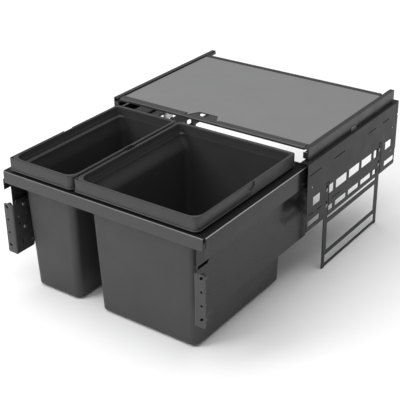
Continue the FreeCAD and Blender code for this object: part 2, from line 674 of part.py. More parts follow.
def cover_rail():
    """Channel open to the inside, with a ledge that carries the cover."""
    inner = "cover_rail_outer - plate_gauge"
    outline = [
        ("cover_rail_outer", "cover_rail_low"), ("cover_rail_outer", "cover_rail_high"),
        ("cover_half + 2.5", "cover_rail_high"), ("cover_half + 2.5", "cover_rail_high - plate_gauge"),
        (inner, "cover_rail_high - plate_gauge"), (inner, "cover_low - 0.5"),
        ("cover_half + 4", "cover_low - 0.5"), ("cover_half + 4", "cover_low - 2"),
        (inner, "cover_low - 2"), (inner, "cover_rail_low + plate_gauge"),
        ("cover_half + 0.5", "cover_rail_low + plate_gauge"), ("cover_half + 0.5", "cover_rail_low"),
    ]
    return extrusion("cover_rail", "XZ", [outline], "0 - cover_rail_front", "cover_rail_rear")


def rail_carrier():
    """Strip between the plate's top flange and the cover rail, with a hook on the outside."""
    strip = block("carrier_strip", ("plate_outer - plate_flange", -14, "plate_high"),
                  ("cover_rail_outer - 0.7", 392, "cover_rail_low"))
    hook_foot = block("hook_foot", ("cover_rail_outer - 1", 172, "plate_high"),
                      ("cover_rail_outer + 3.5", 200, "plate_high + 2"))
    hook_wall = block("hook_wall", ("cover_rail_outer", 174, "plate_high + 1"),
                      ("cover_rail_outer + 1.5", 198, "cover_rail_low + 5"))
    return fuse("rail_carrier", strip, hook_foot, hook_wall)


def rail_ends():
    """End cap round the cover rail's open front, and the stop block in its rear end."""
    near, far = "cover_half + 0.5", "cover_rail_outer"
    back = "0 - cover_rail_front"
    face = f"{back} - 2"
    low = block("cap_low", (near, face, "cover_rail_low"), (far, back, "cover_low - 2"))
    side = block("cap_side", (f"{far} - 2", face, "cover_low - 3"), (far, back, "cover_rail_high"))
    top = block("cap_top", (near, face, "cover_rail_high - 1.4"), (far, back, "cover_rail_high"))
    stop = block("rail_stop", (near, "cover_rear + 5.4", "cover_low - 0.4"),
                 (f"{far} - plate_gauge", "cover_rail_rear - 2", "cover_rail_high - plate_gauge"))
    return group("rail_ends", [fuse("rail_cap", low, side, top), stop])


def cover_plate():
    """Flat sheet with folded edges that slide on the rails, and a trapezoid for the finger pull."""
    skin, tongue = "cover_top - 1.5", "cover_low + 1.5"
    edge, wall = "cover_half + 10.5", "cover_half - 1.5"
    right = [
        (wall, skin), (wall, "cover_low"), (edge, "cover_low"), (edge, tongue),
        ("cover_half", tongue), ("cover_half", "cover_top"),
    ]
    left = [(f"0 - ({x})", z) for x, z in reversed(right)]
    sheet = extrusion("cover_sheet", "XZ", [right + left], -10, "cover_rear - 9")
    trapezoid = [
        ("pull_middle - 44", -6), ("pull_middle + 44", -6),
        ("pull_middle + 25", 27), ("pull_middle - 25", 27),
    ]
    opening = extrusion("pull_opening", "XY", [trapezoid], f"{skin} - 1", "cover_top + 1")
    return cut("cover_plate", sheet, opening)


def cover_front():
    """Dark bar along the front edge, with the finger pull's tray and its slot."""
    outline = [
        (-14, "cover_low"), (-10, "cover_low"), (-10, "cover_top"), (-5, "cover_top"),
        (-5, "cover_top + 1.6"), (-11.5, "cover_top + 1.6"), (-14, "cover_top - 0.6"),
    ]
    bar = extrusion("cover_bar", "YZ", [outline], "0 - cover_half", "cover_half")
    tray = [
        ("pull_middle - 50", -10), ("pull_middle + 50", -10),
        ("pull_middle + 30", 33), ("pull_middle - 30", 33),
    ]
    slot = [
        ("pull_middle - 19", 10.5), ("pull_middle + 3", 10.5),
        ("pull_middle + 2", 26.5), ("pull_middle - 18", 26.5),
    ]
    floor = extrusion("pull_tray", "XY", [tray, slot], "cover_top - 4", "cover_top - 1.5")
    return fuse("cover_front", bar, floor)


def cover_back():
    """Dark strip along the rear edge, a little higher than the cover."""
    outline = [
        ("cover_rear - 9", "cover_low"), ("cover_rear", "cover_low"), ("cover_rear", "cover_top + 3"),
        ("cover_rear - 3.5", "cover_top + 3"), ("cover_rear - 4.5", "cover_top + 0.4"),
        ("cover_rear - 9", "cover_top + 0.4"),
    ]
    return extrusion("cover_back", "YZ", [outline], "0 - cover_half", "cover_half")


def cover_glides():
    """Plastic blocks between the cover's folded edges and the rails."""
    glides = []
    for side, (near, far) in (("right", (263, 268)), ("left", (-268, -263))):
        for y in (5, 320):
            glides.append(block(f"glide_{side}_{y}", (near, y, "cover_low + 1.5"),
                                (far, y + 24, "cover_rail_high - plate_gauge - 0.4")))
    return group("cover_glides", glides)


# ---------------------------------------------------------------- bins

def inset(bounds, sides, front, back, corner):
    """Rounded-rectangle bounds moved inwards by a length at the sides, the front and the back."""
    left, right = bounds
    return (f"{left} + ({sides})", f"{right} - ({sides})", f"0 - collar_front + ({front})",
            f"0 - collar_back - ({back})", corner)


def swing_room(name, bounds):
    """What the swinging handle needs free at its pivots: a slot that opens into a V at the rim."""
    left, right = bounds
    axis, height = "0 - pivot_back", "pivot_height"
    reach = "(rim_high - pivot_height + 0.8)"
    outline = [
        (f"{axis} - 15", "lip_high"), (f"{axis} + 6.8", "lip_high"),
        (f"{axis} + 6.8", f"{height} + 2"), (f"{axis} + {reach}", f"{height} + 9"),
        (f"{axis} + {reach}", "rim_high + 1"), (f"{axis} - 15", "rim_high + 1"),
    ]
    return extrusion(name + "_room", "YZ", [outline], f"{left} - 5", f"{right} + 5")


def bin_shell(name, floor, head_sides, bounds):
    """Tapered bin, its wall towards the other bin flared under the collar.

    It has a foot ring, a lip, a thin rim and, round its rear half, a thick collar.
    """
    left, right = floor

    def wall_section(draft, sides, thinner):
        """A level section of the tapered wall, thinner than its outside by a length."""
        return (f"{sides[0]} + {thinner}", f"{sides[1]} - {thinner}",
                f"0 - bin_front - {draft} + {thinner}", f"0 - bin_back + {draft} - {thinner}",
                f"bin_corner + 1 - {thinner}")

    waist_draft = "bin_draft * (waist_high - bin_floor) / (collar_low - bin_floor)"
    waist_sides = (f"{left} - {waist_draft}", f"{right} + {waist_draft}")
    foot, inner_foot = (wall_section("0", floor, t) for t in ("0", "bin_wall"))
    waist, inner_waist = (wall_section(waist_draft, waist_sides, t) for t in ("0", "bin_wall"))
    head, inner_head = (wall_section("bin_draft", head_sides, t) for t in ("0", "bin_wall"))
    rim_side, rim_front = "handle_gauge + handle_gap", "handle_gauge + front_gap"
    rim = inset(bounds, rim_side, rim_front, rim_side, "collar_corner + 3")
    mouth_side, mouth_front = f"{rim_side} + collar_wall", f"{rim_front} + collar_wall"
    mouth_top = inset(bounds, mouth_side, mouth_front, mouth_side, "collar_corner + 8")
    mouth_foot = inset(bounds, f"{mouth_side} + funnel", f"{mouth_front} + funnel",
                       f"{mouth_side} + 0.5", "collar_corner + 8")
    collar = inset(bounds, "0", "0", "0", "collar_corner")
    lip = inset(bounds, "0 - 0.9", "0 - 0.9", "0", "collar_corner")
    ring = inset(bounds, 4, 5, 1, "collar_corner")
    ring_solid = rounded_prism(name + "_ring", "shelf_low", "collar_low", ring, ring)
    wall = rounded_prism(name + "_wall", "bin_floor", "waist_high", foot, waist)
    flare = rounded_prism(name + "_flare", "waist_high", "collar_low", waist, head)
    lip_solid = rounded_prism(name + "_lip", "collar_low", "lip_high", lip, lip)
    rim_solid = rounded_prism(name + "_rim", "lip_high", "rim_high", rim, rim)
    band = rounded_prism(name + "_band", "lip_high", "rim_high", collar, collar)
    front_half = block(
        name + "_front_half", (f"{bounds[0]} - 5", "0 - half_depth", "lip_high"),
        (f"{bounds[1]} + 5", "0 - pivot_back + 1", "rim_high + 1"),
    )
    rear_band = cut(name + "_rear_band", band, front_half, swing_room(name, bounds))
    blank = fuse(name + "_blank", ring_solid, wall, flare, lip_solid, rim_solid, rear_band)
    room = rounded_prism(name + "_room_below", "bin_floor + bin_wall + 0.4", "waist_high",
                         inner_foot, inner_waist)
    flare_room = rounded_prism(name + "_flare_room", "waist_high", "lip_high",
                               inner_waist, inner_head)
    ledge = rounded_prism(name + "_ledge", "lip_high", "funnel_low", inner_head, mouth_foot)
    mouth = rounded_prism(name + "_mouth", "funnel_low", "rim_high", mouth_foot, mouth_top)
    hull = cut(name + "_hull", blank, room, flare_room, ledge, mouth)
    pins = [
        rod(f"{name}_pin_{side}", "x", (start, "0 - pivot_back", "pivot_height"), "pivot_radius",
            f"{rim_side} + 0.1")
        for side, start in (("left", bounds[0]), ("right", f"{bounds[1]} - ({rim_side}) - 0.1"))
    ]
    return fuse(name, hull, *pins)


def swing_handle(name, bounds):
    """U-shaped band round the front half of the rim, hung on the bin's two pins."""
    collar = inset(bounds, "0", "0", "0", "collar_corner")
    inner = inset(bounds, "handle_gauge", "handle_gauge", "handle_gauge", "collar_corner - handle_gauge")
    band = rounded_prism(name + "_outer", "handle_low", "rim_high", collar, collar)
    space = rounded_prism(name + "_inner", "handle_low - 1", "rim_high + 1", inner, inner)
    axis, height = "0 - pivot_back", "pivot_height"
    left, right = bounds
    behind = [
        (axis, "handle_low - 1"), ("0 - collar_back + 5", "handle_low - 1"),
        ("0 - collar_back + 5", "rim_high + 1"), (f"{axis} - 9", "rim_high + 1"),
        (f"{axis} - 9", "rim_high"), (f"{axis} - 2", f"{height} + 6"), (axis, f"{height} + 6"),
    ]
    tail = extrusion(name + "_tail", "YZ", [behind], f"{left} - 5", f"{right} + 5")
    eyes = [
        rod(f"{name}_eye_{side}", "x", (start, axis, height), 6, "handle_gauge")
        for side, start in (("left", left), ("right", f"{right} - handle_gauge"))
    ]
    bore = rod(name + "_bore", "x", (f"{left} - 5", axis, height), "pivot_radius + 0.08",
               f"{right} - ({left}) + 10")
    bail = cut(name + "_bail", band, space, tail)
    return cut(name, fuse(name + "_blank", bail, *eyes), bore)


# ---------------------------------------------------------------- the sub-parts

pair(side_plate(), "side_plate")
pair(support_frame(), "support_frame")
pair(group("foot_pads", leg_pieces(foot_pad)), "foot_pads")
pair(group("guide_studs", leg_pieces(guide_studs)), "guide_studs")
pair(cabinet_track(), "cabinet_track")
pair(drawer_track(), "drawer_track")
pair(middle_member(), "middle_runner")
LOWER_START, UPPER_START = -17.5, -202.5
pair(ball_rows("lower_balls", LOWER_START, "track_floor + 8"), "lower_balls")
pair(ball_rows("upper_balls", UPPER_START, "upper_lip + 6.5"), "upper_balls")
pair(ball_cage("lower_cage", LOWER_START, "track_floor + 8", "track_floor + 0.35", "track_lip - 1"),
     "lower_ball_cage")
pair(ball_cage("upper_cage", UPPER_START, "upper_lip + 6.5",
               "frame_top - frame_gauge - track_gauge - 1.3", "upper_lip + 1"), "upper_ball_cage")
pair(damper_housing(), "damper_housing")
pair(damper_rod(), "damper_catch")
pair(block("track_end_cap", (252.5, f"{PLATE_FRONT} - 2", "track_floor - 11"),
           (278.5, f"{PLATE_FRONT} + 12", "track_floor - track_gauge")), "track_end_cap")
pair(drawer_side(), "drawer_side")
node(front_rail(), "front_rail")
node(rear_rail(), "rear_rail")
pair(door_bracket(), "door_bracket")
pair(bracket_screws(), "bracket_screws")
node(corner_rivets(), "corner_rivets")
pair(cover_rail(), "cover_rail")
pair(rail_carrier(), "rail_carrier")
pair(rail_ends(), "rail_ends")
node(cover_plate(), "cover_plate")
node(cover_front(), "cover_front_profile")
node(cover_back(), "cover_rear_profile")
node(cover_glides(), "cover_glides")
LARGE = ("large_collar", "collar_outer")
SMALL = ("0 - collar_outer", "small_collar")
LARGE_HEAD = ("large_collar + flare_gap", "bin_outer + bin_draft")
SMALL_HEAD = ("0 - bin_outer - bin_draft", "small_collar - flare_gap")
node(bin_shell("large_shell", ("large_inner", "bin_outer"), LARGE_HEAD, LARGE), "large_bin")
node(bin_shell("small_shell", ("0 - bin_outer", "small_inner"), SMALL_HEAD, SMALL), "small_bin")
node(swing_handle("large_swing", LARGE), "large_bin_handle")
node(swing_handle("small_swing", SMALL), "small_bin_handle")

DOC.recompute()

faulty = [o.Name for o in DOC.Objects if "Invalid" in o.State or "Error" in o.State]
if faulty:
    raise RuntimeError("objects that failed to build: " + ", ".join(faulty))
for piece in NODES:
    if piece.Shape.isNull() or not piece.Shape.isValid():
        raise RuntimeError(piece.Label + " has no valid shape")

os.makedirs("parts", exist_ok=True)
for piece in NODES:
    piece.Shape.exportStep(f"parts/{piece.Label}.step")
    box = piece.Shape.BoundBox
    print(f"{piece.Label:24s} {len(piece.Shape.Solids):3d} solids {piece.Shape.Volume:12.0f} mm3 "
          f"x {box.XMin:7.1f} {box.XMax:7.1f} y {box.YMin:7.1f} {box.YMax:7.1f} z {box.ZMin:6.1f} {box.ZMax:6.1f}")
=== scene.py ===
"""Looks of the pull-out waste-bin unit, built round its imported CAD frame.

Lengths inside the piece makers are millimetres and turn into metres when a mesh is stored.
"""
import json
import math

import bmesh
import bpy
from mathutils import Matrix, Vector


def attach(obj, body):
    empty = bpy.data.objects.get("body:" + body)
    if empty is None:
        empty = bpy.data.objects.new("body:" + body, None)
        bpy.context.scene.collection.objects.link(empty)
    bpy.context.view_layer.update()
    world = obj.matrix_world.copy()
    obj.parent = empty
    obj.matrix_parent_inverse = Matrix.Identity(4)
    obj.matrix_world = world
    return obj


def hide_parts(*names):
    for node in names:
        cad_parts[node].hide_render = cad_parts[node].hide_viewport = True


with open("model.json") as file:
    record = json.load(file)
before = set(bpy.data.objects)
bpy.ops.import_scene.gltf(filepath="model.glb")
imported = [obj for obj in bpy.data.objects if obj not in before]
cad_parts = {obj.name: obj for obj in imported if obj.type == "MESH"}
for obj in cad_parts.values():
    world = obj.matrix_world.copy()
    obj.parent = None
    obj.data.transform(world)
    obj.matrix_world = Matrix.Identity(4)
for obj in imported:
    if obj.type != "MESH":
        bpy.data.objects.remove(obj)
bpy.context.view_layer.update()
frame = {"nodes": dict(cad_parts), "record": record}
MM = 0.001


# ---------------------------------------------------------------- camera, light and floor

def camera_back(azimuth, elevation):
    """Unit vector from the object towards a camera at these angles."""
    a, e = math.radians(azimuth), math.radians(elevation)
    return Vector((math.sin(a) * math.cos(e), -math.cos(a) * math.cos(e), math.sin(e)))


def make_camera():
    back = camera_back(36.0, 27.56)
    data = bpy.data.cameras.new("camera")
    data.sensor_width = 36.0
    data.lens = 89.2
    data.clip_end = 50.0
    cam = bpy.data.objects.new("camera", data)
    bpy.context.collection.objects.link(cam)
    target = Vector((35.3, -93.2, 172.0)) * MM
    cam.location = target + back * 2.273
    roll = Matrix.Rotation(math.radians(-0.90), 3, "Z")
    cam.matrix_world = Matrix.Translation(cam.location) @ (
        (-back).to_track_quat("-Z", "Y").to_matrix() @ roll).to_4x4()
    bpy.context.scene.camera = cam


def area_light(name, place, target, size, power):
    """Soft box of this width and height in metres, turned towards the target."""
    data = bpy.data.lights.new(name, "AREA")
    data.shape = "RECTANGLE"
    data.size, data.size_y = size
    data.energy = power
    light = bpy.data.objects.new(name, data)
    light.location = Vector(place)
    aim = Vector(target) - light.location
    light.rotation_euler = aim.to_track_quat("-Z", "Y").to_euler()
    bpy.context.collection.objects.link(light)


def sun_light(name, towards, strength, spread):
    """Even light from a broad patch of the studio ceiling; the spread is in degrees."""
    data = bpy.data.lights.new(name, "SUN")
    data.energy = strength
    data.angle = math.radians(spread)
    light = bpy.data.objects.new(name, data)
    light.rotation_euler = Vector(towards).to_track_quat("Z", "Y").to_euler()
    bpy.context.collection.objects.link(light)


WALL_TONE = 0.96


def make_world(strength):
    """Even light of this strength, which the camera sees as a pale wall beyond the floor."""
    world = bpy.data.worlds.new("studio")
    world.use_nodes = True
    nodes, links = world.node_tree.nodes, world.node_tree.links
    background = nodes["Background"]
    background.inputs["Color"].default_value = (1, 1, 1, 1)
    seen = nodes.new("ShaderNodeMath")
    seen.operation = "MULTIPLY_ADD"
    links.new(nodes.new("ShaderNodeLightPath").outputs["Is Camera Ray"], seen.inputs[0])
    seen.inputs[1].default_value = WALL_TONE - strength
    seen.inputs[2].default_value = strength
    links.new(seen.outputs["Value"], background.inputs["Strength"])
    bpy.context.scene.world = world


make_camera()
make_world(0.36)
area_light("key", (-1.7, -2.6, 2.3), (0, 0, 0.1), (1.4, 1.4), 48)
sun_light("overhead", (-0.12, -0.1, 1), 2.25, 70)
bpy.context.scene.view_settings.view_transform = "Standard"
bpy.ops.mesh.primitive_plane_add(size=60)
floor = bpy.context.object
floor.name = "floor"


# ---------------------------------------------------------------- materials

def coat(name, colour, roughness, grain=0.0, grain_size=0.0006, specular=0.5, metallic=0.0,
         stretch=(1, 1, 1), mottle=0.07, wear=0.0):
    """Coated or moulded surface.

    Broad clouds vary the tone by mottle, smudges vary the roughness, a fine bump gives the grain
    of that size in metres, and wear lightens thinly scattered rubbed spots.
    """
    material = bpy.data.materials.new(name)
    material.use_nodes = True
    nodes, links = material.node_tree.nodes, material.node_tree.links
    shader = nodes["Principled BSDF"]
    shader.inputs["Specular IOR Level"].default_value = specular
    shader.inputs["Metallic"].default_value = metallic
    where = nodes.new("ShaderNodeTexCoord")
    place = nodes.new("ShaderNodeMapping")
    place.inputs["Scale"].default_value = stretch
    links.new(where.outputs["Object"], place.inputs["Vector"])

    def noise(scale, detail, source=place.outputs["Vector"]):
        node = nodes.new("ShaderNodeTexNoise")
        node.inputs["Scale"].default_value = scale
        node.inputs["Detail"].default_value = detail
        links.new(source, node.inputs["Vector"])
        return node.outputs["Fac"]

    def blend(factor, first, second):
        node = nodes.new("ShaderNodeMix")
        node.data_type = "RGBA"
        links.new(factor, node.inputs["Factor"])
        for socket, value in (("A", first), ("B", second)):
            if isinstance(value, tuple):
                node.inputs[socket].default_value = (*value, 1)
            else:
                links.new(value, node.inputs[socket])
        return node.outputs["Result"]

    def ranged(value, low, high, to_low, to_high):
        node = nodes.new("ShaderNodeMapRange")
        node.inputs["From Min"].default_value = low
        node.inputs["From Max"].default_value = high
        node.inputs["To Min"].default_value = to_low
        node.inputs["To Max"].default_value = to_high
        links.new(value, node.inputs["Value"])
        return node.outputs["Result"]

    cloud = noise(14, 4)
    speck = noise(1 / grain_size, 2)
    dark = tuple(c * (1 - mottle) for c in colour)
    light = tuple(c * (1 + mottle) for c in colour)
    tone = blend(cloud, dark, light)
    flecked = blend(ranged(speck, 0.5, 0.75, 0, 0.5), tone, tuple(min(c * 1.5, 1) for c in colour))
    if wear:
        rubbed = ranged(noise(60, 8), 0.62, 0.74, 0, wear)
        flecked = blend(rubbed, flecked, tuple(min(c * 2 + 0.05, 1) for c in colour))
    links.new(flecked, shader.inputs["Base Color"])
    smudge = noise(22, 6, where.outputs["Object"])
    links.new(ranged(smudge, 0.3, 0.7, roughness - 0.05, roughness + 0.06),
              shader.inputs["Roughness"])
    if grain:
        bump = nodes.new("ShaderNodeBump")
        bump.inputs["Strength"].default_value = grain
        bump.inputs["Distance"].default_value = 0.0002
        links.new(speck, bump.inputs["Height"])
        links.new(bump.outputs["Normal"], shader.inputs["Normal"])
    return material


MATERIALS = {
    "frame_steel": coat("anthracite_coat", (0.036, 0.036, 0.037), 0.33, 0.22, 0.0009, wear=0.1),
    "runner_steel": coat("runner_coat", (0.05, 0.05, 0.052), 0.36, 0.1, 0.0009,
                         stretch=(1, 0.05, 1), wear=0.25),
    "bearing_steel": coat("bearing_steel", (0.62, 0.62, 0.63), 0.13, 0.02, metallic=1.0),
    "screw_steel": coat("dark_zinc", (0.2, 0.2, 0.205), 0.32, 0.15, metallic=0.8, wear=0.3),
    "cage_plastic": coat("cage_plastic", (0.03, 0.03, 0.03), 0.5, 0.2),
    "damper_plastic": coat("damper_plastic", (0.018, 0.018, 0.019), 0.46, 0.25),
    "damper_metal": coat("damper_metal", (0.45, 0.45, 0.455), 0.28, 0.1, metallic=0.9,
                         stretch=(1, 0.04, 1)),
    "pad_rubber": coat("pad_rubber", (0.018, 0.018, 0.018), 0.75, 0.5, 0.0008),
    "cover_steel": coat("cover_coat", (0.185, 0.185, 0.187), 0.4, 0.25, 0.0008, mottle=0.05),
    "rail_aluminium": coat("rail_coat", (0.02, 0.02, 0.021), 0.34, 0.12, 0.0007,
                           stretch=(1, 0.03, 1)),
    "trim_plastic": coat("trim_plastic", (0.016, 0.016, 0.017), 0.42, 0.2),
    "bin_plastic": coat("bin_plastic", (0.036, 0.036, 0.037), 0.52, 0.35, 0.0008, mottle=0.05),
    "handle_plastic": coat("handle_plastic", (0.034, 0.034, 0.035), 0.46, 0.25, 0.0007,
                           mottle=0.05),
}
PLATE_COAT = coat("plate_coat", (0.017, 0.017, 0.018), 0.38, 0.22, 0.0009, specular=0.2, wear=0.1)
SIDE_COAT = coat("side_coat", (0.018, 0.018, 0.0185), 0.24, 0.05, 0.0009, specular=0.28)
# Near-black coat that is painted shade: on the up-facing tops of the drawer frame and front rail,
# and behind the plate perforations.
PAINTED_SHADE_COAT = coat("painted_shade_coat", (0.008, 0.008, 0.0082), 0.5, 0.2, 0.0009, specular=0.2)
# Light coat on the bends along the upper edges of the drawer sides: a painted highlight.
PAINTED_HIGHLIGHT_COAT = coat("painted_edge_highlight", (0.4, 0.4, 0.405), 0.3, 0.1, metallic=0.2)
# Dimmer painted highlight on the upper bend of the front rail.
SOFT_PAINTED_HIGHLIGHT_COAT = coat("soft_painted_highlight", (0.11, 0.11, 0.112), 0.34, 0.1)
BAR_COAT = coat("bar_coat", (0.035, 0.035, 0.036), 0.36, 0.2, 0.0009)
SLOT_OF = {s["node"]: s["material_slot"] for s in frame["record"]["subparts"]}
BODY_OF = {n: b for b, names in frame["record"]["behaviour"]["bodies"].items() for n in names}
replaced = set()


def add_bevel(obj, width):
    """Rounds the object's sharp edges by a width in millimetres."""
    rounding = obj.modifiers.new("rounding", "BEVEL")
    rounding.width = width * MM
    rounding.segments = 2
    rounding.limit_method = "ANGLE"
    rounding.angle_limit = math.radians(40)


EDGE_ROUNDING = {"cover_plate": 0.6, "cover_rear_profile": 0.6,
                 "damper_housing_right": 0.8, "damper_housing_left": 0.8}
ROUND_NODES = ("balls", "rivets", "studs", "screws")


def finish_node(name):
    """Gives a CAD node that stays its finish and its softened edges."""
    obj = frame["nodes"][name]
    obj.data.materials.clear()
    finish = PLATE_COAT if "support_frame" in name else MATERIALS[SLOT_OF[name]]
    obj.data.materials.append(finish)
    if not any(word in name for word in ROUND_NODES):
        weld = obj.modifiers.new("weld", "WELD")
        weld.merge_threshold = 0.00001
        add_bevel(obj, EDGE_ROUNDING.get(name, 0.3))
        obj.modifiers.new("shading", "WEIGHTED_NORMAL").keep_sharp = True


# ---------------------------------------------------------------- mesh helpers

# Above this height in metres, upward faces get painted light: flat tops painted shade, the bends
# beside them a painted highlight.
PAINTED_LIGHT_FROM, BEND_RISE, TOP_RISE = 0.284, 0.4, 0.93


def mirror(bm, way):
    """Turns a right-hand part into the left-hand one when the way is -1."""
    if way < 0:
        bmesh.ops.scale(bm, vec=(-1, 1, 1), verts=bm.verts)


def store(name, bm, node, bevel=0.0, smooth=35, finish=None, painted_light_bands=None):
    """Turns a mesh in millimetres into a piece that stands for a CAD node.

    Given a band coat, its flat top gets a near-black coat as painted shade, and the bend beside
    the top gets that band coat, a light coat that is a painted highlight.
    """
    bmesh.ops.scale(bm, vec=(MM, MM, MM), verts=bm.verts)
    bmesh.ops.remove_doubles(bm, verts=bm.verts, dist=2e-6)
    bmesh.ops.recalc_face_normals(bm, faces=bm.faces)
    mesh = bpy.data.meshes.new(name)
    bm.to_mesh(mesh)
    bm.free()
    mesh.polygons.foreach_set("use_smooth", [True] * len(mesh.polygons))
    mesh.set_sharp_from_angle(angle=math.radians(smooth))
    obj = bpy.data.objects.new(name, mesh)
    bpy.context.collection.objects.link(obj)
    mesh.materials.append(finish or MATERIALS[SLOT_OF[node]])
    if painted_light_bands:
        for material in (PAINTED_SHADE_COAT, painted_light_bands):
            mesh.materials.append(material)
        # Up-facing tops get the painted shade coat, and the upper bends get the painted highlight
        # coat.
        for face in mesh.polygons:
            rise = face.normal.z
            if rise > BEND_RISE and face.center.z > PAINTED_LIGHT_FROM:
                face.material_index = 1 if rise > TOP_RISE else 2
    if bevel:
        add_bevel(obj, bevel)
    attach(obj, BODY_OF[node])
    if node not in replaced:
        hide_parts(node)
        replaced.add(node)
    return obj


def loft(bm, rings, closed=True, capped=True):
    """Skins a row of rings that have equally many points."""
    rows = [[bm.verts.new(point) for point in ring] for ring in rings]
    count = len(rows[0])
    for low, high in zip(rows, rows[1:]):
        for n in range(count if closed else count - 1):
            m = (n + 1) % count
            bm.faces.new((low[n], low[m], high[m], high[n]))
    if capped:
        bm.faces.new(rows[0][::-1])
        bm.faces.new(rows[-1])


def arc(cu, cv, radius, start, end, steps):
    """Points of an arc between two angles in degrees."""
    angles = [math.radians(start + (end - start) * n / steps) for n in range(steps + 1)]
    return [(cu + radius * math.cos(a), cv + radius * math.sin(a)) for a in angles]


def round_corners(points, radius, steps=4, closed=True):
    """Replaces each corner of an outline by an arc; a point may carry its own radius."""
    result = []
    count = len(points)
    for n, point in enumerate(points):
        here = Vector(point[:2])
        size = point[2] if len(point) > 2 else radius
        if size <= 0 or (not closed and n in (0, count - 1)):
            result.append(tuple(here))
            continue
        before = (Vector(points[n - 1][:2]) - here).normalized()
        after = (Vector(points[(n + 1) % count][:2]) - here).normalized()
        angle = before.angle(after)
        reach = size / math.tan(angle / 2)
        centre = here + (before + after).normalized() * (size / math.sin(angle / 2))
        start, end = here + before * reach - centre, here + after * reach - centre
        turn = start.angle_signed(end)
        for k in range(steps + 1):
            swing = Matrix.Rotation(-turn * k / steps, 2)
            result.append(tuple(centre + swing @ start))
    return result


AXES = {"x": lambda u, v, w: (w, u, v), "y": lambda u, v, w: (u, w, v),
        "z": lambda u, v, w: (u, v, w)}


def prism(bm, outline, axis, near, far):
    """A solid with this outline across an axis: (y, z) for x, (x, z) for y, (x, y) for z."""
    turn = AXES[axis]
    loft(bm, [[turn(u, v, w) for u, v in outline] for w in (near, far)])


def fold(bm, line, gauge, bend, axis, near, far):
    """A strip of sheet bent along a centre line, which is an outline across the axis."""
    middle = round_corners(line, bend, 5, closed=False)
    left, right = [], []
    for n, point in enumerate(middle):
        here = Vector(point)
        before = here - Vector(middle[n - 1]) if n else Vector(middle[1]) - here
        after = Vector(middle[n + 1]) - here if n + 1 < len(middle) else before
        along = (before.normalized() + after.normalized()).normalized()
        side = Vector((-along.y, along.x)) * gauge / 2
        left.append(tuple(here + side))
        right.append(tuple(here - side))
    prism(bm, left + right[::-1], axis, near, far)


def punched(bm, outlines, axis, near, far, edge=0.25):
    """A flat plate with openings: the first outline is its edge, the others are holes in it."""
    curve = bpy.data.curves.new("plate", "CURVE")
    curve.dimensions = "2D"
    curve.fill_mode = "BOTH"
    for outline in outlines:
        spline = curve.splines.new("POLY")
        spline.points.add(len(outline) - 1)
        spline.use_cyclic_u = True
        for point, (u, v) in zip(spline.points, outline):
            point.co = (u, v, 0, 1)
    curve.extrude = (far - near) / 2 - edge
    curve.bevel_depth = edge
    curve.bevel_resolution = 0
    curve.offset = -edge
    holder = bpy.data.objects.new("plate", curve)
    mesh = bpy.data.meshes.new_from_object(holder)
    turn, middle = AXES[axis], (near + far) / 2
    for vert in mesh.vertices:
        vert.co = turn(vert.co.x, vert.co.y, vert.co.z + middle)
    bm.from_mesh(mesh)
    bpy.data.objects.remove(holder)
    bpy.data.curves.remove(curve)
    bpy.data.meshes.remove(mesh)


def circle(u, v, radius, steps=20):
    return arc(u, v, radius, 0, 360 - 360 / steps, steps - 1)


def stadium(u, v, long, wide, tilt=0):
    """A slot with round ends, tilted from the first axis by an angle in degrees."""
    half = (long - wide) / 2
    ends = arc(half, 0, wide / 2, -90, 90, 6) + arc(-half, 0, wide / 2, 90, 270, 6)
    turn = Matrix.Rotation(math.radians(-tilt), 2)
    return [tuple(Vector((u, v)) + turn @ Vector(p)) for p in ends]


def box_outline(left, right, low, high, radius=1.5):
    return round_corners([(left, low), (right, low), (right, high), (left, high)], radius, 3)


def turned(bm, profile, axis, place, steps=24):
    """A lathe form: (distance along the axis, radius) pairs about a line through place."""
    rings = []
    for along, radius in profile:
        ring = arc(0, 0, radius, 0, 360 - 360 / steps, steps - 1)
        rings.append([tuple(Vector(place) + Vector(AXES[axis](u, v, along))) for u, v in ring])
    loft(bm, rings)


# ---------------------------------------------------------------- bins and handles

PIVOT_Y, PIVOT_Z = -217.0, 304.5
RIM_HIGH = 323.2
FRONT, BACK = -398.2, -33.5
HANDLE_GAUGE = 2.4
RIM_SIDE, RIM_FRONT = 2.8, 4.2
NOTCH_NEAR, NOTCH_FAR = PIVOT_Y + 6.8, PIVOT_Y + 19.5
FRONT_LEFT, FRONT_RIGHT = 5, 14


def bin_ring(z, left, right, front, back, corners, recess=(0, 0), step=NOTCH_NEAR, steps=9):
    """A level loop of a bin, recessed in front of the step for the handle.

    The corners are the radii at the rear right, rear left, front left and front right.
    """
    side, ahead = recess
    rr, rl, fl, fr = corners
    if side:
        fl, fr = fl + 3, fr + 3
    loop = [(right, step)]
    loop += arc(right - rr, back - rr, rr, 0, 90, steps)
    loop += arc(left + rl, back - rl, rl, 90, 180, steps)
    loop += [(left, step), (left + side, step)]
    loop += arc(left + side + fl, front + ahead + fl, fl, 180, 270, steps)
    loop += arc(right - side - fr, front + ahead + fr, fr, 270, 360, steps)
    loop += [(right - side, step)]
    return [(x, y, z) for x, y in loop]


def notch(z):
    """Where the pivot slot ends towards the back, at a height."""
    low, high = PIVOT_Z + 2, PIVOT_Z + 9
    share = min(max((z - low) / (high - low), 0), 1)
    return NOTCH_NEAR + (NOTCH_FAR - NOTCH_NEAR) * share


COLLAR_CORNERS = (8, 5, FRONT_LEFT, FRONT_RIGHT)
MOUTH_CORNERS = (10, 8, 24, 24)
WAIST, FLARE_TOP, FLARE_REACH = 262, 299, 237.2
BODY_FRONT, BODY_BACK, BODY_CORNER = -375.1, -47, 16.5
BODY_LOW, BODY_HIGH, BODY_WALL, DRAFT = 5, 290, 2.2, 8.2
FLOOR_ROUNDING, INNER_ROUNDING, INNER_FLOOR = 3.5, 9.4, 7.6
QUARTER = [math.radians(turn) for turn in (0, 22, 45, 67, 90)]


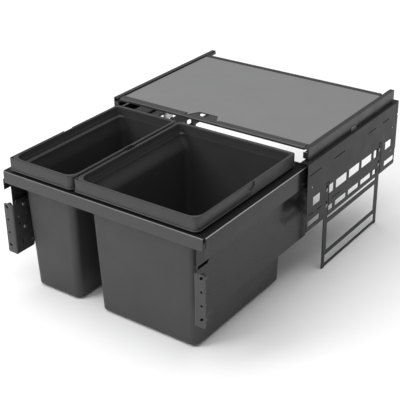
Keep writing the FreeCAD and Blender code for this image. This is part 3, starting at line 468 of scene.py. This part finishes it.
def bin_rings(floor_left, floor_right, left, right):
    """Outside of a bin from its floor up, over the rim, and down the inside.

    The side walls flare between the waist and the collar.
    """
    rings = []
    large = right > 0
    inner_face = left if large else right

    def level(z, side, front, back, corners=COLLAR_CORNERS, recess=(0, 0), step=NOTCH_NEAR):
        rings.append(bin_ring(z, left + side, right - side, FRONT + front, BACK - back,
                              corners, recess, step))

    def body(z, thinner, corner):
        draft = DRAFT * (min(z, BODY_HIGH) - BODY_LOW) / 289 - thinner
        low_x, high_x = floor_left - draft, floor_right + draft
        if z > WAIST:
            share = (z - WAIST) / (FLARE_TOP - WAIST)
            share = share * share * (3 - 2 * share)
            goal = inner_face + (8.6 + thinner) * (1 if large else -1)
            outer = FLARE_REACH - thinner
            if large:
                low_x += (goal - low_x) * share
                high_x += (outer - high_x) * share
            else:
                high_x += (goal - high_x) * share
                low_x += (-outer - low_x) * share
        radius = max(corner - thinner, 1.5)
        rings.append(bin_ring(z, low_x, high_x, BODY_FRONT - draft, BODY_BACK + draft,
                              (radius,) * 4))

    for a in QUARTER:
        body(BODY_LOW + FLOOR_ROUNDING * (1 - math.cos(a)), FLOOR_ROUNDING * (1 - math.sin(a)),
             BODY_CORNER)
    for z in (60, 150, 220, WAIST, 268, 274, 280, 285, 289.9):
        body(z, 0, BODY_CORNER + z / 290)
    level(289.9, 4, 5, 1)
    level(294, 4, 5, 1)
    for z, out in ((294, 0.2), (294.3, 0.6), (295, 0.9), (296.2, 0.9), (297, 0.6), (297.5, 0.1)):
        level(z, -out, -out, 0)
    for z in (297.8, PIVOT_Z + 2, PIVOT_Z + 9, 316, 322.2, 322.8, RIM_HIGH):
        soft = {322.8: 0.25, RIM_HIGH: 0.9}.get(z, 0)
        level(z, soft, soft, soft, recess=(RIM_SIDE, RIM_FRONT), step=notch(z))
    for z, more in ((RIM_HIGH, -1.1), (322.9, -0.4), (322.2, 0), (318, 0.4), (307.2, 1.1)):
        level(z, 6.4 + more, 8.4 + more, 7 + min(more, 0.2), MOUTH_CORNERS, step=NOTCH_FAR)
    for z, more in ((306.4, 1.6), (305.2, 1.9), (302.4, 2.0)):
        level(z, 6.4 + more, 8.4 + more, 7.3, MOUTH_CORNERS, step=NOTCH_FAR)
    for z in (FLARE_TOP, 296, 292, 288, 283, 278, 272, 266, WAIST, 240, 150, 60):
        body(z, BODY_WALL, 17)
    for a in QUARTER:
        body(INNER_FLOOR + INNER_ROUNDING * (1 - math.sin(a)),
             BODY_WALL + INNER_ROUNDING * (1 - math.cos(a)), 17)
    return rings


def make_bin(name, node, floor_left, floor_right, left, right):
    """A bin's shell, and the pin at each side on which its handle swings."""
    bm = bmesh.new()
    loft(bm, bin_rings(floor_left, floor_right, left, right))
    store(name, bm, node, smooth=38)
    for side, face, way in (("right", right, 1), ("left", left, -1)):
        bm = bmesh.new()
        base = face - way * (RIM_SIDE + 0.2)
        profile = [(0, 3), (way * 2.6, 3), (way * 2.9, 2.7), (way * 2.9, 1.6), (way * 2.3, 1.3)]
        turned(bm, profile, "x", (base, PIVOT_Y, PIVOT_Z))
        store(f"{name}_pin_{side}", bm, node)


EYE_RADIUS, BAND_LOW = 6, 298.5


def handle_span(y):
    """Lower and upper edge of a handle's side, round the eye at its pivot and in front of it."""
    eye = math.sqrt(max(EYE_RADIUS ** 2 - (y - PIVOT_Y) ** 2, 0))
    low = BAND_LOW if y <= PIVOT_Y else PIVOT_Z - eye
    if y > PIVOT_Y - 2:
        return low, PIVOT_Z + eye
    share = min((PIVOT_Y - 2 - y) / 7, 1)
    return low - 0.3 * share, PIVOT_Z + 5.66 + (RIM_HIGH - PIVOT_Z - 5.66) * share


def make_handle(name, node, left, right):
    """U-shaped band round the front half of a rim."""
    ends = [-211.0, -211.15, -211.6, -212.4, -213.6, -215, -217, -218, -219, -221, -223.5, -226,
            -227, -240, -300, -360]
    path = [(right, y, -1, 0) for y in ends]
    near, far = FRONT_RIGHT, FRONT_LEFT
    for x, y in arc(right - near, FRONT + near, near, 0, -90, 9):
        path.append((x, y, (right - near - x) / near, (FRONT + near - y) / near))
    for share in (0.25, 0.5, 0.75):
        path.append((right - near + (left - right + near + far) * share, FRONT, 0, 1))
    for x, y in arc(left + far, FRONT + far, far, -90, -180, 9):
        path.append((x, y, (left + far - x) / far, (FRONT + far - y) / far))
    path += [(left, y, 1, 0) for y in reversed(ends)]
    rings = []
    for x, y, inward_x, inward_y in path:
        low, high = handle_span(y)
        r = min(0.6, (high - low) / 3)
        section = [(r * 0.3, low + r * 0.3), (r, low), (HANDLE_GAUGE - r, low),
                   (HANDLE_GAUGE - r * 0.3, low + r * 0.3), (HANDLE_GAUGE, low + r),
                   (HANDLE_GAUGE, high - r), (HANDLE_GAUGE - r * 0.3, high - r * 0.3),
                   (HANDLE_GAUGE - r, high), (r, high), (r * 0.3, high - r * 0.3), (0, high - r),
                   (0, low + r)]
        rings.append([(x + inward_x * d, y + inward_y * d, z) for d, z in section])
    bm = bmesh.new()
    loft(bm, rings)
    store(name, bm, node)


LARGE_SIDES, SMALL_SIDES = (-63.5, 249.5), (-249.5, -70.5)
make_bin("large_bin_shell", "large_bin", -32.6, 224.3, *LARGE_SIDES)
make_bin("small_bin_shell", "small_bin", -224.3, -96.1, *SMALL_SIDES)
make_handle("large_handle_bail", "large_bin_handle", *LARGE_SIDES)
make_handle("small_handle_bail", "small_bin_handle", *SMALL_SIDES)


# ---------------------------------------------------------------- side plates

PLATE_OUTER, PLATE_GAUGE = 282.0, 1.5
PLATE_FRONT, PLATE_REAR = -34.6, 408.0
PLATE_MIDDLE = (PLATE_FRONT + PLATE_REAR) / 2
PLATE_LOW, PLATE_TOP = 135.6, 304.0
GROOVE_PLACE, GROOVE_HALF, GROOVE_TOP = 130.25, 9.4, 224.0
WINDOWS_HIGH, WINDOWS_LOW = (191.6, 213.6), (146.7, 160.4)
DOTS_HIGH, DOTS_LOW = 273, 175


def plate_outlines():
    """The side plate's edge with its two leg notches, then all its openings, as (y, z).

    Each row of windows has five between the legs and one beyond each leg.
    """
    edge = [(PLATE_FRONT, PLATE_LOW, 2)]
    for place in (-GROOVE_PLACE, GROOVE_PLACE):
        near, far = PLATE_MIDDLE + place - GROOVE_HALF, PLATE_MIDDLE + place + GROOVE_HALF
        edge += [(near, PLATE_LOW, 0.8), (near, GROOVE_TOP, 0.8), (far, GROOVE_TOP, 0.8),
                 (far, PLATE_LOW, 0.8)]
    edge += [(PLATE_REAR - 2.5, PLATE_LOW, 2), (PLATE_REAR - 2.5, 175, 0.5),
             (PLATE_REAR, 175, 0.8), (PLATE_REAR, 266, 0.4), (PLATE_REAR - 2.5, 266, 0.4),
             (PLATE_REAR - 2.5, 271, 0.4), (PLATE_REAR, 271, 0.4), (PLATE_REAR, 301, 0),
             (PLATE_FRONT, 301, 0)]
    outlines = [round_corners(edge, 1, 3)]
    for low, high in (WINDOWS_HIGH, WINDOWS_LOW):
        for place, width in ((0, 52), (62.8, 52), (-62.8, 52), (110.5, 19.6), (-110.5, 19.6)):
            middle = PLATE_MIDDLE + place
            outlines.append(box_outline(middle - width / 2, middle + width / 2, low, high, 2))
    for sign in (-1, 1):
        middle = PLATE_MIDDLE + sign * 178
        outlines.append(box_outline(middle - 16, middle + 16, *WINDOWS_HIGH, 2))
        middle = PLATE_MIDDLE + sign * 188.5
        outlines.append(box_outline(middle - 26, middle + 26, *WINDOWS_LOW, 2))
        for z in (176, 240):
            outlines.append(circle(PLATE_MIDDLE + sign * 199, z, 2.6))
    for start, count in ((-24, 8), (84, 8), (252, 6), (330, 5)):
        for n in range(count):
            outlines.append(stadium(start + 6.6 * n, DOTS_HIGH, 4.4, 3.6))
    for start, count in ((82, 6), (-22, 3), (14, 3)):
        for n in range(count):
            outlines.append(stadium(start + 7.5 * n, DOTS_LOW, 4.6, 3.4))
    return outlines


def make_plate(side, way):
    """Punched side plate with its folded top flange and the pans behind its legs.

    A near-black strip closes each row of small perforations from inside, as painted shade in the
    holes.
    """
    node = "side_plate_" + side
    bm = bmesh.new()
    punched(bm, plate_outlines(), "x", PLATE_OUTER - PLATE_GAUGE, PLATE_OUTER)
    middle_x = PLATE_OUTER - PLATE_GAUGE / 2
    fold(bm, [(middle_x, 300.8), (middle_x, PLATE_TOP - 0.75), (262, PLATE_TOP - 0.75)],
         PLATE_GAUGE, 1.6, "y", PLATE_FRONT, PLATE_REAR)
    for place in (-GROOVE_PLACE, GROOVE_PLACE):
        near, far = PLATE_MIDDLE + place - GROOVE_HALF, PLATE_MIDDLE + place + GROOVE_HALF
        fold(bm, [(281.8, near - 0.1), (278.25, near - 0.1), (278.25, far + 0.1),
                  (281.8, far + 0.1)], 0.7, 0.8, "z", PLATE_LOW, GROOVE_TOP + 0.3)
        cap = [(281.9, GROOVE_TOP + 1.2), (281.9, GROOVE_TOP - 0.3), (278.2, GROOVE_TOP - 0.3),
               (278.2, GROOVE_TOP + 0.8)]
        prism(bm, cap, "y", near - 0.3, far + 0.3)
    mirror(bm, way)
    store("plate_" + side, bm, node, smooth=20, finish=PLATE_COAT)
    # Near-black strips behind the perforations: painted shade.
    bm = bmesh.new()
    for near, far, z in ((-30, 28, DOTS_HIGH), (78, 136, DOTS_HIGH), (246, 292, DOTS_HIGH),
                         (324, 363, DOTS_HIGH), (-28, 34, DOTS_LOW), (78, 126, DOTS_LOW)):
        prism(bm, [(near, z - 2.5), (far, z - 2.5), (far, z + 2.5), (near, z + 2.5)], "x",
              PLATE_OUTER - PLATE_GAUGE - 0.7, PLATE_OUTER - PLATE_GAUGE - 0.1)
    mirror(bm, way)
    store("perforation_painted_shade_" + side, bm, node, bevel=0.15, finish=PAINTED_SHADE_COAT)


for side, way in (("right", 1), ("left", -1)):
    make_plate(side, way)


# ---------------------------------------------------------------- rails and brackets

def make_front_rail():
    """Angle across the front with a rounded upper edge, a return flange below and two tabs."""
    bm = bmesh.new()
    fold(bm, [(-403.75, 261.8), (-403.75, 288.85), (-388, 288.85)], 1.5, 1.9, "x", -265.6, 265.6)
    fold(bm, [(-403.2, 262.6), (-395.5, 262.6)], 1.5, 1, "x", -245, 245)
    for low, high in ((246.7, 248.2), (-248.2, -246.7)):
        punched(bm, [box_outline(-403, -377, 263, 286, 2)], "x", low, high)
    # The rail's top carries painted shade, and its upper bend carries a dim painted highlight.
    store("rail_front", bm, "front_rail", painted_light_bands=SOFT_PAINTED_HIGHLIGHT_COAT)


SKIRT_OUTER, SKIRT_INNER, WEB_INNER = 249.4, 248.2, 245.7
SKIRT_LOW, CHANNEL_LOW, CHANNEL_TOP, CHANNEL_X = 94.1, 243.7, 288.9, 268.75
CHANNEL_FRONT, CHANNEL_BACK, BAND_STEP_Z = -388, -9, 269.3
BRACKET_LOW, BRACKET_HIGH = 88.1, 211.4
HOLE_X, HOLE_LOW, HOLE_PITCH = 263.6, 107.5, 32
SLEEVE_FRONT = -405.6


def make_drawer_side(side, way):
    """Runner channel, its front band with the slit beside the rail, and the skirt's pocket."""
    bm = bmesh.new()
    line = [(238, CHANNEL_TOP), (CHANNEL_X, CHANNEL_TOP), (CHANNEL_X, CHANNEL_LOW)]
    fold(bm, line, 1.4, 1.5, "y", CHANNEL_FRONT, CHANNEL_BACK)
    line = [(264.5, CHANNEL_TOP), (CHANNEL_X, CHANNEL_TOP), (CHANNEL_X, BAND_STEP_Z)]
    fold(bm, line, 1.4, 1.5, "y", -398.5, CHANNEL_FRONT)
    band = [(268.1, CHANNEL_LOW), (269.4, CHANNEL_LOW), (269.4, BAND_STEP_Z),
            (268.1, BAND_STEP_Z)]
    prism(bm, band, "y", -404.5, CHANNEL_FRONT)
    pocket = [(-400, 213.5), (-366, 213.5), (-360, 220.5), (-397, 220.5)]
    skirt = [(-403, SKIRT_LOW, 2), (22, SKIRT_LOW, 2), (22, 236, 2), (CHANNEL_BACK, 236, 1),
             (CHANNEL_BACK, 288.3, 1), (-403, 288.3, 1)]
    dimple = circle(-361, 137, 1.3)
    punched(bm, [round_corners(skirt, 1, 3), pocket, dimple], "x", SKIRT_INNER, SKIRT_OUTER)
    wide = [(-401.5, 212.3), (-365, 212.3), (-358.2, 221.7), (-398.2, 221.7)]
    turn = AXES["x"]
    cup = [(pocket, 243.6), (pocket, SKIRT_INNER), (wide, SKIRT_INNER), (wide, 242.6)]
    loft(bm, [[turn(u, v, w) for u, v in outline] for outline, w in cup])
    mirror(bm, way)
    # The channel's top carries painted shade, and its upper bend carries a bright painted
    # highlight.
    store("drawer_wall_" + side, bm, "drawer_side_" + side, smooth=30, finish=SIDE_COAT,
          painted_light_bands=PAINTED_HIGHLIGHT_COAT)


def make_bracket(side, way):
    """Door bracket: two round holes between two slanting ones, its web inside the skirt.

    Behind each hole stands a short closed sleeve.
    """
    bm = bmesh.new()
    flange = round_corners([(251.5, BRACKET_LOW, 0), (272.4, BRACKET_LOW, 4),
                            (272.4, BRACKET_HIGH, 4), (251.5, BRACKET_HIGH, 0)], 4, 5)
    heights = [HOLE_LOW + HOLE_PITCH * n for n in range(4)]
    holes = [circle(HOLE_X, z, 2.7) for z in heights[1:3]]
    holes += [stadium(HOLE_X, z, 9.4, 5.4, -45) for z in (heights[0], heights[3])]
    punched(bm, [flange] + holes, "y", -408, -405.5, 0.3)
    bend_x = (SKIRT_INNER + WEB_INNER) / 2
    fold(bm, [(251.7, -406.75), (bend_x, -406.75), (bend_x, -402)], 2.5, 2.2, "z",
         BRACKET_LOW, BRACKET_HIGH)
    web = round_corners([(-402.2, BRACKET_LOW, 0), (-352, BRACKET_LOW, 5),
                         (-352, BRACKET_HIGH, 5), (-402.2, BRACKET_HIGH, 0)], 5, 6)
    holes = [stadium(-386, 112, 12, 5, 90), circle(-390, 160, 3), circle(-364, 190, 2.5)]
    punched(bm, [web] + holes, "x", WEB_INNER, SKIRT_INNER, 0.3)
    for z, (wide, bore) in zip(heights, ((6.6, 5.0), (4.6, 2.8), (4.6, 2.8), (6.6, 5.0))):
        rings = [[(u, SLEEVE_FRONT + along, v) for u, v in arc(HOLE_X, z, radius, 0, 345, 23)]
                 for along, radius in ((0, wide), (9, wide), (9, bore), (0, bore))]
        loft(bm, rings + rings[:1], capped=False)
        turned(bm, [(0, bore), (0.6, bore)], "y", (HOLE_X, SLEEVE_FRONT + 8.4, z))
    mirror(bm, way)
    store("bracket_" + side, bm, "door_bracket_" + side, smooth=25)


def make_bracket_screws(side, way):
    """Domed clamp screws with a round recess, and rivet heads, on the bracket's web."""
    bm = bmesh.new()
    dome = [(0.1, 4.7), (-0.8, 4.7), (-1.6, 4.1), (-2.2, 3.1), (-2.5, 2.0), (-1.4, 1.7)]
    for y, z in ((-374.5, 203), (-376.5, 147.6)):
        turned(bm, dome, "x", (WEB_INNER, y, z))
    for y, z, size in ((-368.5, 176.5, 1.9), (-392, 177.8, 1.9), (-358, 107, 2.4)):
        turned(bm, [(0.1, size), (-0.6, size * 0.9), (-1.1, size * 0.4)], "x", (WEB_INNER, y, z))
    mirror(bm, way)
    store("bracket_bolts_" + side, bm, "bracket_screws_" + side)


COVER_HALF, PULL_LEFT, PULL_RIGHT = 258.3, -67, 23


def make_cover_front():
    """Rounded dark bar along the cover's front edge, with the finger pull's tray behind it."""
    bm = bmesh.new()
    bar = round_corners([(-14, 324.5, 0.6), (-10.2, 324.5, 0), (-10.2, 330.2, 0), (4.5, 330.2, 0),
                         (5.5, 331.4, 0.8), (-3, 332.9, 6), (-14, 330.6, 3)], 1, 5)
    prism(bm, bar, "x", -COVER_HALF, PULL_LEFT)
    prism(bm, bar, "x", PULL_RIGHT, COVER_HALF)
    lip = round_corners([(-14, 324.5, 0.6), (-10.2, 324.5, 0), (-10.2, 328.8, 0), (-5, 328.8, 0),
                         (-6, 330.8, 0.8), (-14, 330.6, 2.5)], 1, 5)
    prism(bm, lip, "x", PULL_LEFT, PULL_RIGHT)
    tray = round_corners([(-72, -10.4), (28, -10.4), (8, 33), (-52, 33)], 2, 3)
    slot = round_corners([(-44, 9), (-17, 9), (-18, 26.8), (-43, 26.8)], 2.5, 4)
    punched(bm, [tray, slot], "z", 326.3, 328.8)
    store("cover_front_bar", bm, "cover_front_profile", smooth=30, finish=BAR_COAT)


make_front_rail()
make_cover_front()
for side, way in (("right", 1), ("left", -1)):
    make_drawer_side(side, way)
    make_bracket(side, way)
    make_bracket_screws(side, way)


# ---------------------------------------------------------------- finish

for node_name in SLOT_OF:
    if node_name not in replaced:
        finish_node(node_name)
floor.data.materials.append(coat("floor_paper", (0.9, 0.9, 0.9), 0.9, mottle=0.01))
